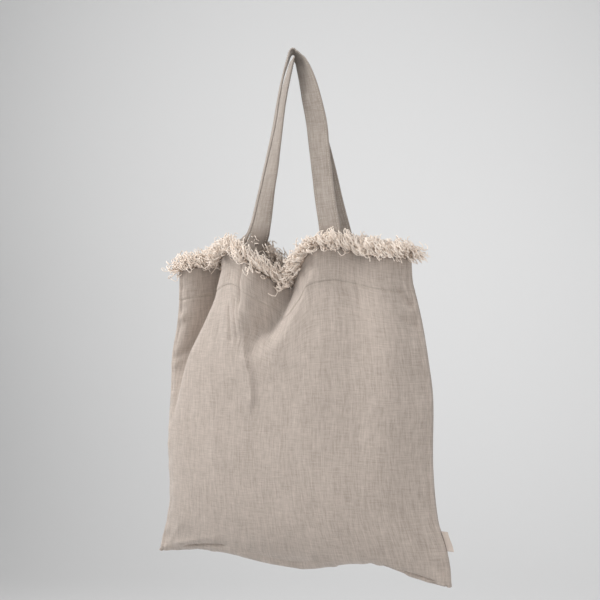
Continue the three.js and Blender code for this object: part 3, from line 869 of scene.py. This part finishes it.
crownTurn = strap["crownTurn"]
handles = {
    "front": {
        "side": sides["front"], "away": 0.5, "aside": 0.0, "inward": 1,
        "left": leg(
            (0.0, 0.0, crownTurn), (0.12, 0.135, -58), (0.22, 0.215, -57), (0.41, 0.345, -56.5),
            (0.75, 0.645, -56), (0.9, 0.8, -54), (1.0, 1.0, -42),
        ),
        "right": leg(
            (0.0, 0.0, crownTurn), (0.02, 0.05, -52), (0.045, 0.13, -40), (0.105, 0.245, -28),
            (0.206, 0.385, -17), (0.356, 0.55, -11), (0.507, 0.64, -11), (0.75, 0.79, -12),
            (0.9, 0.92, -8), (1.0, 1.0, 2),
        ),
    },
    "back": {
        "side": sides["back"], "away": -0.5, "aside": 0.003, "inward": -1,
        "left": leg(
            (0.0, 0.0, crownTurn + 10), (0.215, 0.256, -44), (0.41, 0.406, -38), (0.757, 0.723, -17),
            (0.94, 0.884, -5), (1.0, 1.0, 0),
        ),
        "right": leg(
            (0.0, 0.0, crownTurn + 10), (0.1, 0.19, -50), (0.2, 0.32, -48), (0.34, 0.44, -40),
            (0.5, 0.57, -25), (0.757, 0.78, -11), (0.9, 0.92, -3), (1.0, 1.0, 0),
        ),
    },
}
crownBend = strap["crownRadius"] + strap["wall"] / 2


# The middle of a strap's crown, where both its legs start
def crownMiddle(handle):
    turn = math.radians(crownTurn)
    along = np.array([math.cos(turn), math.sin(turn), 0])
    across = np.array([-math.sin(turn), math.cos(turn), 0])
    return along * handle["away"] * strap["crownPitch"] + across * handle["aside"]


# The y of the hem's inner face at an x and z
def hemFace(handle, x, z):
    level = np.maximum((-seamDrop - z) / seamHeight, 0)
    left, right = acrossAt(-1, level), acrossAt(1, level)
    return depthAt(handle["side"], 2 * (x - left) / (right - left) - 1, level)


# The middle of a strap where it lies on the hem's inner face, a gap away from it
def hemSeat(handle, x, z):
    step = 0.001
    slopeX = (hemFace(handle, x + step, z) - hemFace(handle, x - step, z)) / (2 * step)
    slopeZ = (hemFace(handle, x, z + step) - hemFace(handle, x, z - step)) / (2 * step)
    inward = unit(np.stack([-slopeX, np.ones_like(slopeX), -slopeZ], -1))
    seat = np.stack([x, hemFace(handle, x, z), z], -1)
    return seat + inward * handle["inward"] * (strap["seatGap"] + strap["wall"] / 2)


# The rows of one leg, from the given heights and places across the strap
def legRows(handle, hand, heights, shares):
    z, share = np.meshgrid(heights, shares, indexing="ij")
    rows = handle["left" if hand < 0 else "right"]
    drop = np.clip(-z / strap["drop"], 0, 1)
    out = follow(rows, drop, "out")
    turn = np.radians(follow(rows, drop, "turn"))
    start = crownMiddle(handle)
    startTurn = math.radians(rows["turn"][0])
    startX = start[0] - hand * crownBend * math.sin(startTurn)
    startY = start[1] + hand * crownBend * math.cos(startTurn)
    endX = hand * strap["spread"] / 2
    endY = hemSeat(handle, np.array([endX]), np.array([-strap["drop"]]))[0, 1]
    reach = share * strap["width"]
    x = mix(startX, endX, out) + reach * np.cos(turn)
    y = mix(startY, endY, out) + reach * np.sin(turn)
    free = np.stack([x, y, z], -1)
    endTurn = math.radians(rows["turn"][-1])
    seat = hemSeat(handle, endX + reach * math.cos(endTurn), z)
    sewn = 1 - ease((z + strap["drop"]) / strap["leadIn"])
    return mix(free, seat, sewn[..., None])


# The middle of a whole strap, in rows from its left end over the crown to its right end
def strapRows(handle, shares):
    low = -strap["drop"] - strap["tuck"]
    sewn = np.linspace(low, -strap["drop"], strap["sewnRows"], endpoint=False)
    steps = np.linspace(0, 1, strap["legRows"])
    free = mix(-strap["drop"], -strap["crownRadius"], ease(steps) * 0.5 + steps * 0.5)
    heights = np.concatenate([sewn, free])
    middle, turn = crownMiddle(handle), math.radians(handle["left"]["turn"][0])
    angle, share = np.meshgrid(
        np.linspace(0, math.pi, strap["crownRows"] + 2)[1:-1], shares, indexing="ij",
    )
    swing, reach = -np.cos(angle) * crownBend, share * strap["width"]
    crown = np.stack([
        middle[0] + reach * math.cos(turn) - swing * math.sin(turn),
        middle[1] + reach * math.sin(turn) + swing * math.cos(turn),
        -strap["crownRadius"] + np.sin(angle) * crownBend,
    ], -1)
    left = legRows(handle, -1, heights, shares)
    right = legRows(handle, 1, heights[::-1], shares)
    return np.concatenate([left, crown, right])


# The directions that stand square on a grid of points
def rowNormals(rows):
    along = np.gradient(rows, axis=0)
    across = np.gradient(rows, axis=1)
    return unit(np.cross(along, across))


def buildHandle(name, handle):
    # columns crowd towards the two edges
    reach = math.pi / 2 * 0.94
    shares = np.sin(np.linspace(-1, 1, strap["columns"] + 1) * reach) / math.sin(reach) / 2
    rows = strapRows(handle, shares)
    normals = rowNormals(rows)
    middle = rows[:, strap["columns"] // 2]
    lengths = np.concatenate([[0], np.cumsum(np.linalg.norm(np.diff(middle, axis=0), axis=1))])
    s, t = np.meshgrid(shares * strap["width"], lengths)
    seed = strap["seed"] + (0 if name == "front" else 9)
    half = strap["wall"] / 2 * np.clip(1 - np.abs(2 * shares) ** strap["edgePower"], 0.0, 1) ** 0.5
    edge = np.abs(np.abs(s) - (strap["width"] / 2 - strap["edgeStitch"]))
    groove = strap["stitchGroove"] * hump(edge, strap["stitchWidth"])
    wide, fine = strap["crumpleSize"], strap["puckerSize"]
    wave = strap["crumple"] * ripple(s / wide[0] + 3, t / wide[1], seed)
    pucker = strap["crumple"] * 0.45 * ripple(s / fine[0], t / fine[1], seed + 1)
    pucker = pucker * np.exp(-edge / strap["puckerReach"])
    ways = (lengths, lengths[-1] - lengths)
    start, end = (np.clip((way - strap["tuck"]) / strap["stillEnds"], 0, 1) for way in ways)
    shift = (wave * (start * end)[:, None])[..., None] * normals
    thick = (half + (pucker * 0.5 - groove) * (half > 0.0006))[..., None] * normals
    points, faces = closedSheet(rows + shift + thick, rows + shift - thick, turned=True)
    cloth = np.stack([s + strap["width"] / 2, t], -1).reshape(-1, 2)
    mesh = newMesh(name + "_strap", points, faces, np.concatenate([cloth, cloth + [0.05, 0.003]]))
    return turnOut(newPiece(name + "_strap", mesh, shadedStrapCloth))


straps = {word: buildHandle(word, handle) for word, handle in handles.items()}
print("handles made")


# Stitches: a path on the cloth, and a small thread bead laid along it at an even pitch

stitch = {"pitch": 0.0032, "length": 0.0022, "radius": 0.00034, "seed": 3}


def stitchTree():
    maker, given = newTree("stitch_run", stitch)
    path = maker.node("GeometryNodeMeshToCurve", None, [given["guide"]])
    spaced = maker.node(
        "GeometryNodeCurveToPoints", {"mode": "LENGTH"}, {"Curve": path, "Length": given["pitch"]},
    )
    turn = Wire(maker, spaced.socket.node.outputs["Rotation"])
    bead = maker.node("GeometryNodeMeshUVSphere", None, {"Segments": 6, "Rings": 5, "Radius": 1.0})
    scale = maker.point(given["radius"], given["radius"], given["length"] * 0.5)
    shaped = maker.node("GeometryNodeTransform", None, {"Geometry": bead, "Scale": scale})
    smooth = maker.node("GeometryNodeSetShadeSmooth", None, {"Geometry": shaped})
    jitter = maker.random(0.85, 1.12, given["seed"])
    laid = maker.node(
        "GeometryNodeInstanceOnPoints", None,
        {"Points": spaced, "Instance": smooth, "Rotation": turn, "Scale": jitter},
    )
    return finishTree(maker, laid, given["material"])


# A mesh of edges along some paths
def pathMesh(name, paths):
    points, edges, start = [], [], 0
    for path in paths:
        points.extend(path.tolist())
        edges.extend((start + k, start + k + 1) for k in range(len(path) - 1))
        start += len(path)
    mesh = bpy.data.meshes.new(name)
    mesh.from_pydata(points, edges, [])
    return mesh


# Lines near both edges of a strap, on both its faces, where it isn't sewn in
def strapStitchPaths(word):
    share = 0.5 - strap["edgeStitch"] / strap["width"]
    rows = strapRows(handles[word], np.array([-share, 0.0, share]))
    normals = rowNormals(rows)
    lift = strap["wall"] / 2 - strap["stitchGroove"] + stitch["radius"] * 0.5
    seen = slice(strap["sewnRows"], -strap["sewnRows"])
    return [
        rows[seen, column] + normals[seen, column] * lift * face
        for column in (0, 2) for face in (-1, 1)
    ]


# Points on a panel's outer face, lifted a little
def onPanel(name, side, at, down, lift):
    standing = reliefAt(name, at, down) + wallAt(down) + lift
    return innerPoint(side, at, down) + outwardAt(side, at, down) * standing[..., None]


# The hem's line, and a box round each sewn end of a strap
def panelStitchPaths(name, side):
    lift = stitch["radius"] * 0.4
    at = np.linspace(-0.985, 0.985, 420)
    runs = [onPanel(name, side, at, np.full_like(at, hemShare), lift)]
    inset = panel["boxInset"]
    leftEnd, rightEnd = acrossAt(-1, 0.0), acrossAt(1, 0.0)
    low, high = (bag["hemHeight"] - inset) / seamHeight, panel["boxTop"] / seamHeight
    for place in strapPlaces:
        left, right = (place + hand * (panel["boxWidth"] / 2 - inset) for hand in (-1, 1))
        corners = [(left, high), (left, low), (right, low), (right, high), (left, high)]
        for (x0, down0), (x1, down1) in zip(corners, corners[1:]):
            at = 2 * (np.linspace(x0, x1, 24) - leftEnd) / (rightEnd - leftEnd) - 1
            runs.append(onPanel(name, side, at, np.linspace(down0, down1, 24), lift))
    return runs


stitchRun = stitchTree()
stitches = {}
for word, side in sides.items():
    runs = {"_panel_stitches": panelStitchPaths(word, side), "_strap_stitches": strapStitchPaths(word)}
    for ending, paths in runs.items():
        name = word + ending
        settings = {**stitch, "material": sewingThread}
        stitches[name] = grow(name, pathMesh(name, paths), stitchRun, settings)
print("stitches made")


# Fringe: curled yarns that stand along the top edges and fall outwards

fringe = {
    "columns": 220,
    "reachIn": 0.0034,
    "reachOut": 0.0034,
    "leanIn": -34.0,
    "leanAtStraps": 12.0,
    "leanAtSeams": -5.0,
    "besideStraps": 0.024,
    "sway": 0.85,
    "tuftScale": 230.0,
    "tuftPull": 2.6,
    "waveScale": 240.0,
    "yarnPoints": 18,
    "yarnSides": 3,
    "yarns": {
        "density": 545000.0,
        "length": 0.0205,
        "spread": 0.32,
        "droop": 0.08,
        "curl": 0.0040,
        "turns": 2.3,
        "wave": 0.0056,
        "radius": 0.00078,
        "seed": 11,
    },
}

fullTurn = 6.283
# The widest lean of the yarns along an edge, in degrees from upright
fanRows = table("at widest", [
    (-1.0, 138), (-0.93, 104), (-0.7, 98), (-0.55, 96), (-0.42, 60), (-0.3, 72), (-0.18, 88), (0.08, 96),
    (0.24, 84), (0.5, 80), (0.8, 82), (0.93, 92), (1.0, 128),
])


def fringeTree():
    maker, given = newTree("fringe_yarns", fringe["yarns"])
    scaled = maker.scaled

    def chance(low, high, number):
        return maker.random(low, high, given["seed"] + number)

    def attribute(name, kind="FLOAT_VECTOR"):
        return maker.node("GeometryNodeInputNamedAttribute", {"data_type": kind}, {"Name": name})

    def keep(geometry, name, kind, value, domain="POINT"):
        return maker.node(
            "GeometryNodeStoreNamedAttribute", {"data_type": kind, "domain": domain},
            {"Geometry": geometry, "Name": name, "Value": value},
        )

    def cloud(spot, scale):
        seen = maker.node("ShaderNodeTexNoise", None, {"Vector": spot, "Scale": scale, "Detail": 1.0}, 1)
        return maker.vector("SUBTRACT", seen, (0.5, 0.5, 0.5))

    def added(*vectors):
        total = vectors[0]
        for vector in vectors[1:]:
            total = maker.vector("ADD", total, vector)
        return total

    points = maker.node(
        "GeometryNodeDistributePointsOnFaces", {"distribute_method": "RANDOM"},
        {"Mesh": given["guide"], "Density": given["density"], "Seed": given["seed"]},
    )
    # each yarn leans out by a chance angle, sways to a side and goes with its tuft
    outward, along = attribute("outward"), attribute("along")
    up = maker.point(0.0, 0.0, 1.0)
    place = maker.node("GeometryNodeInputPosition")
    fan = attribute("fanFrom", "FLOAT")
    angle = (fan + (attribute("fanTo", "FLOAT") - fan) * chance(0.0, 1.0, 1)) * (math.pi / 180)
    rise, lean = scaled(up, maker.math("COSINE", angle)), scaled(outward, maker.math("SINE", angle))
    sway = scaled(along, chance(-fringe["sway"], fringe["sway"], 2))
    tuft = scaled(cloud(place, fringe["tuftScale"]), fringe["tuftPull"])
    direction = maker.vector("ADD", added(rise, lean), added(sway, tuft))
    turned = maker.node("FunctionNodeAlignRotationToVector", {"axis": "Z"}, {"Vector": direction})
    kept = keep(points, "phase", "FLOAT", chance(0.0, fullTurn, 3))
    kept = keep(kept, "reach", "FLOAT", given["length"] * (1 + given["spread"] * chance(-1.0, 1.0, 4)))
    kept = keep(kept, "root", "FLOAT_VECTOR", place)
    line = maker.node("GeometryNodeCurvePrimitiveLine", None, {"Start": (0, 0, 0), "End": (0, 0, 1)})
    line = maker.node("GeometryNodeResampleCurve", None, {"Curve": line, "Count": fringe["yarnPoints"]})
    laid = maker.node(
        "GeometryNodeInstanceOnPoints", None,
        {"Points": kept, "Instance": line, "Rotation": turned, "Scale": attribute("reach", "FLOAT")},
    )
    strands = maker.node("GeometryNodeRealizeInstances", None, [laid])
    # then it coils, falls and waves, more and more towards its tip
    share = maker.node("GeometryNodeSplineParameter")
    reach, phase, root = attribute("reach", "FLOAT"), attribute("phase", "FLOAT"), attribute("root")
    spin = phase + share * given["turns"] * fullTurn * (0.75 + phase * 0.08)
    coilOut = scaled(outward, maker.math("SINE", spin) * given["curl"] * share)
    coilSide = scaled(along, maker.math("COSINE", spin) * given["curl"] * share)
    coilUp = scaled(up, maker.math("SINE", spin * 1.15 + 1.6) * given["curl"] * share)
    fall = scaled(up, share * share * reach * given["droop"] * -1.0)
    drift = maker.point(share * 0.01, share * 0.013, phase * 0.004)
    wave = scaled(cloud(added(root, drift), fringe["waveScale"]), share * given["wave"] * 2.0)
    offset = maker.vector("ADD", added(coilOut, coilSide), added(fall, coilUp, wave))
    mapped = maker.point(share, phase * (1 / fullTurn), 0.0)
    strands = keep(strands, "shade", "FLOAT_VECTOR", mapped)
    bent = maker.node("GeometryNodeSetPosition", None, {"Geometry": strands, "Offset": offset})
    profile = maker.node(
        "GeometryNodeCurvePrimitiveCircle", {"mode": "RADIUS"},
        {"Resolution": fringe["yarnSides"], "Radius": 1.0},
    )
    radius = given["radius"] * (1 - share * share * 0.25)
    bent = maker.node("GeometryNodeSetCurveRadius", None, {"Curve": bent, "Radius": radius})
    yarns = maker.node(
        "GeometryNodeCurveToMesh", None,
        {"Curve": bent, "Profile Curve": profile, "Scale": radius, "Fill Caps": True},
    )
    smooth = maker.node("GeometryNodeSetShadeSmooth", None, {"Geometry": yarns})
    smooth = keep(smooth, "cloth", "FLOAT2", attribute("shade"), "CORNER")
    return finishTree(maker, smooth, given["material"])


# The guide: a narrow strip over a top edge, with the directions of the yarns stored on its points
def fringeGuide(name, side):
    at = np.linspace(-1, 1, fringe["columns"])
    zero = np.zeros_like(at)
    inner, outward = innerPoint(side, at, zero), outwardAt(side, at, zero)
    outer = inner + outward * bag["hemWall"]
    flat = unit(outward * [1, 1, 0])
    along = unit(np.gradient(inner, axis=0))
    middle = (inner + outer) / 2 + [0, 0, 0.0015]
    # at the side seams the yarns turn to the side
    ends = np.clip((np.abs(at) - 0.94) / 0.06, 0, 1)[:, None]
    aside = np.stack([np.sign(at), zero, zero], -1)
    flat = unit(mix(flat, unit(aside * 0.8 + flat * 0.6), ease(ends)))
    # they may lean inwards, but not where a strap is in the way and hardly at the seams
    toStrap = np.min([np.abs(inner[:, 0] - place) for place in strapPlaces], axis=0)
    near = ease((fringe["besideStraps"] - toStrap) / 0.006)
    fanFrom = mix(fringe["leanIn"], fringe["leanAtStraps"], near)
    fanFrom = np.where(np.abs(at) > 0.97, fringe["leanAtSeams"], fanFrom)
    fanTo = follow(fanRows, at if name == "front" else np.abs(at), "widest")
    strip = [middle - flat * fringe["reachIn"], middle + flat * fringe["reachOut"]]
    faces = [(2 * k, 2 * k + 2, 2 * k + 3, 2 * k + 1) for k in range(len(at) - 1)]
    mesh = bpy.data.meshes.new(name + "_guide")
    mesh.from_pydata(np.stack(strip, 1).reshape(-1, 3).tolist(), [], faces)
    for label, values in (("outward", flat), ("along", along), ("fanFrom", fanFrom), ("fanTo", fanTo)):
        kind, field = ("FLOAT_VECTOR", "vector") if values.ndim > 1 else ("FLOAT", "value")
        layer = mesh.attributes.new(label, kind, "POINT")
        layer.data.foreach_set(field, np.repeat(values, 2, axis=0).ravel())
    return mesh


yarnTree = fringeTree()
fringes = {}
for word, side in sides.items():
    settings = {**fringe["yarns"], "material": fringeYarn}
    fringes[word] = grow(word + "_yarns", fringeGuide(word, side), yarnTree, settings)
    print(word, "fringe has", len(fringes[word].data.polygons), "faces")


# Label: a folded bare tape that leaves the right seam a little above its bottom corner

label = {
    "reach": 0.009,
    "height": 0.024,
    "wall": 0.0012,
    "level": 0.865,
    "drift": 0.12,
    "bow": 0.0006,
    "foldFrom": 0.86,
}


def buildLabel():
    along, out = np.meshgrid(np.linspace(-0.5, 0.5, 40), np.linspace(0, 1, 18), indexing="ij")
    level = label["level"] + along * label["height"] / seamHeight
    root = acrossAt(1, level) + bag["clothWall"] + bag["pieceGap"]
    x = root + out * label["reach"]
    y = -out * label["reach"] * label["drift"] + label["bow"] * np.sin(along * 7) * out
    z = -seamDrop - level * seamHeight
    turn = np.clip((out - label["foldFrom"]) / (1 - label["foldFrom"]), 0, 1)
    half = label["wall"] / 2 * np.sqrt(np.clip(1 - turn**2, 0.0, 1))
    front, behind = np.stack([x, y - half, z], -1), np.stack([x, y + half, z], -1)
    cloth = np.stack([out * label["reach"], (along + 0.5) * label["height"]], -1).reshape(-1, 2)
    mesh = newMesh("label_tab", *closedSheet(front, behind), np.concatenate([cloth, cloth]))
    return turnOut(newPiece("label_tab", mesh, labelTape))


labelTab = buildLabel()
print("label made")


# Stage and light

stage = {
    "floorLevel": -1.05,
    "wallBehind": 2.3,
    "wallHigh": 3.2,
    "cove": 0.9,
    "width": 9.0,
    "front": 3.0,
    "colour": (0.55, 0.55, 0.55, 1),
    "glow": {
        "level": 0.3006, "most": 0.4,
        "across": (0.0916, -0.0796), "up": (0.0348, -0.0784), "both": -0.0458,
    },
}
lights = {
    "key": {
        "from": (-0.93, -0.47, 0.55), "distance": 1.9, "size": 0.85,
        "power": 30.0, "colour": (1.0, 0.99, 0.98),
    },
    "fill": {
        "from": (0.95, -0.72, 0.02), "distance": 2.3, "size": 1.6,
        "power": 18.6, "colour": (1.0, 1.0, 1.0),
    },
    "top": {
        "from": (-0.15, -0.45, 1.0), "distance": 1.6, "size": 1.2,
        "power": 10.8, "colour": (1.0, 1.0, 1.0),
    },
}
air = {"colour": (0.87, 0.88, 0.89, 1), "strength": 0.46}
bagMiddle = np.array([0.0, 0.0, -0.40])


# A floor that curves up into a wall, square to the camera, which glows with painted light that is a
# little brighter at its middle
def buildStage():
    turn = math.radians(camera["azimuth"])
    aside = np.array([math.cos(turn), math.sin(turn), 0])
    away = np.array([-math.sin(turn), math.cos(turn), 0])
    cove, wall = stage["cove"], stage["wallBehind"]
    profile = [(-stage["front"], 0.0)]
    for angle in np.linspace(0, math.pi / 2, 24):
        profile.append((wall - cove + math.sin(angle) * cove, (1 - math.cos(angle)) * cove))
    profile.append((wall, stage["wallHigh"]))
    points = [
        aside * hand * stage["width"] + away * deep + [0, 0, stage["floorLevel"] + high]
        for hand in (-0.5, 0.5) for deep, high in profile
    ]
    count = len(profile)
    faces = [(k, k + count, k + count + 1, k + 1) for k in range(count - 1)]
    material, make = newMaterial("studio_grey_painted_light")
    place = objectPlace(make)
    across = make.vector("DOT_PRODUCT", place, tuple(aside), out=1)
    up = numbersOf(make, place)[2]
    glow = stage["glow"]
    # painted light: the wall's glow falls off from its middle, as a lamp's light would
    light = glow["level"] + across * up * glow["both"]
    for way, (first, second) in ((across, glow["across"]), (up, glow["up"])):
        light = light + way * first + way * way * second
    light = make.clamp(light, glow["most"])
    closeMaterial(make, stage["colour"], 0.95, None, {"Emission Color": light, "Emission Strength": 1.0})
    backdrop = newPiece("backdrop", newMesh("backdrop", points, faces), material)


def placeLights():
    for name, light in lights.items():
        data = bpy.data.lights.new(name, "AREA")
        data.size, data.energy, data.color = light["size"], light["power"], light["colour"]
        lamp = newObject(name, data)
        way = np.array(light["from"]) / np.linalg.norm(light["from"])
        lamp.location = bagMiddle + way * light["distance"]
        lamp.rotation_euler = lampTurn(way)
    world = bpy.data.worlds.new("studio")
    bpy.context.scene.world = world
    world.use_nodes = True
    background = world.node_tree.nodes["Background"]
    background.inputs[0].default_value = air["colour"]
    background.inputs[1].default_value = air["strength"]


# The turn of a lamp that shines back along a direction
def lampTurn(way):
    flat = math.hypot(way[0], way[1])
    return (math.atan2(flat, way[2]), 0, math.atan2(way[0], -way[1]))


buildStage()
placeLights()
bpy.context.scene.view_settings.view_transform = "Standard"
print("stage and lights placed")


# Each piece goes on the root body, and the part of model.glb that it stands in for is hidden

for word in ("front", "back"):
    pairs = (
        (panels[word], word + "_panel", "linen"),
        (straps[word], word + "_handle", "linen"),
        (fringes[word], word + "_fringe", "fringe_yarn"),
    )
    for piece, node, slotName in pairs:
        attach(piece, "root")
        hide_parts(node)
    for name in (word + "_panel_stitches", word + "_strap_stitches"):
        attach(stitches[name], "root")
    stitches[word + "_panel_stitches"]
    stitches[word + "_strap_stitches"]
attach(labelTab, "root")
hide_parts("side_label")
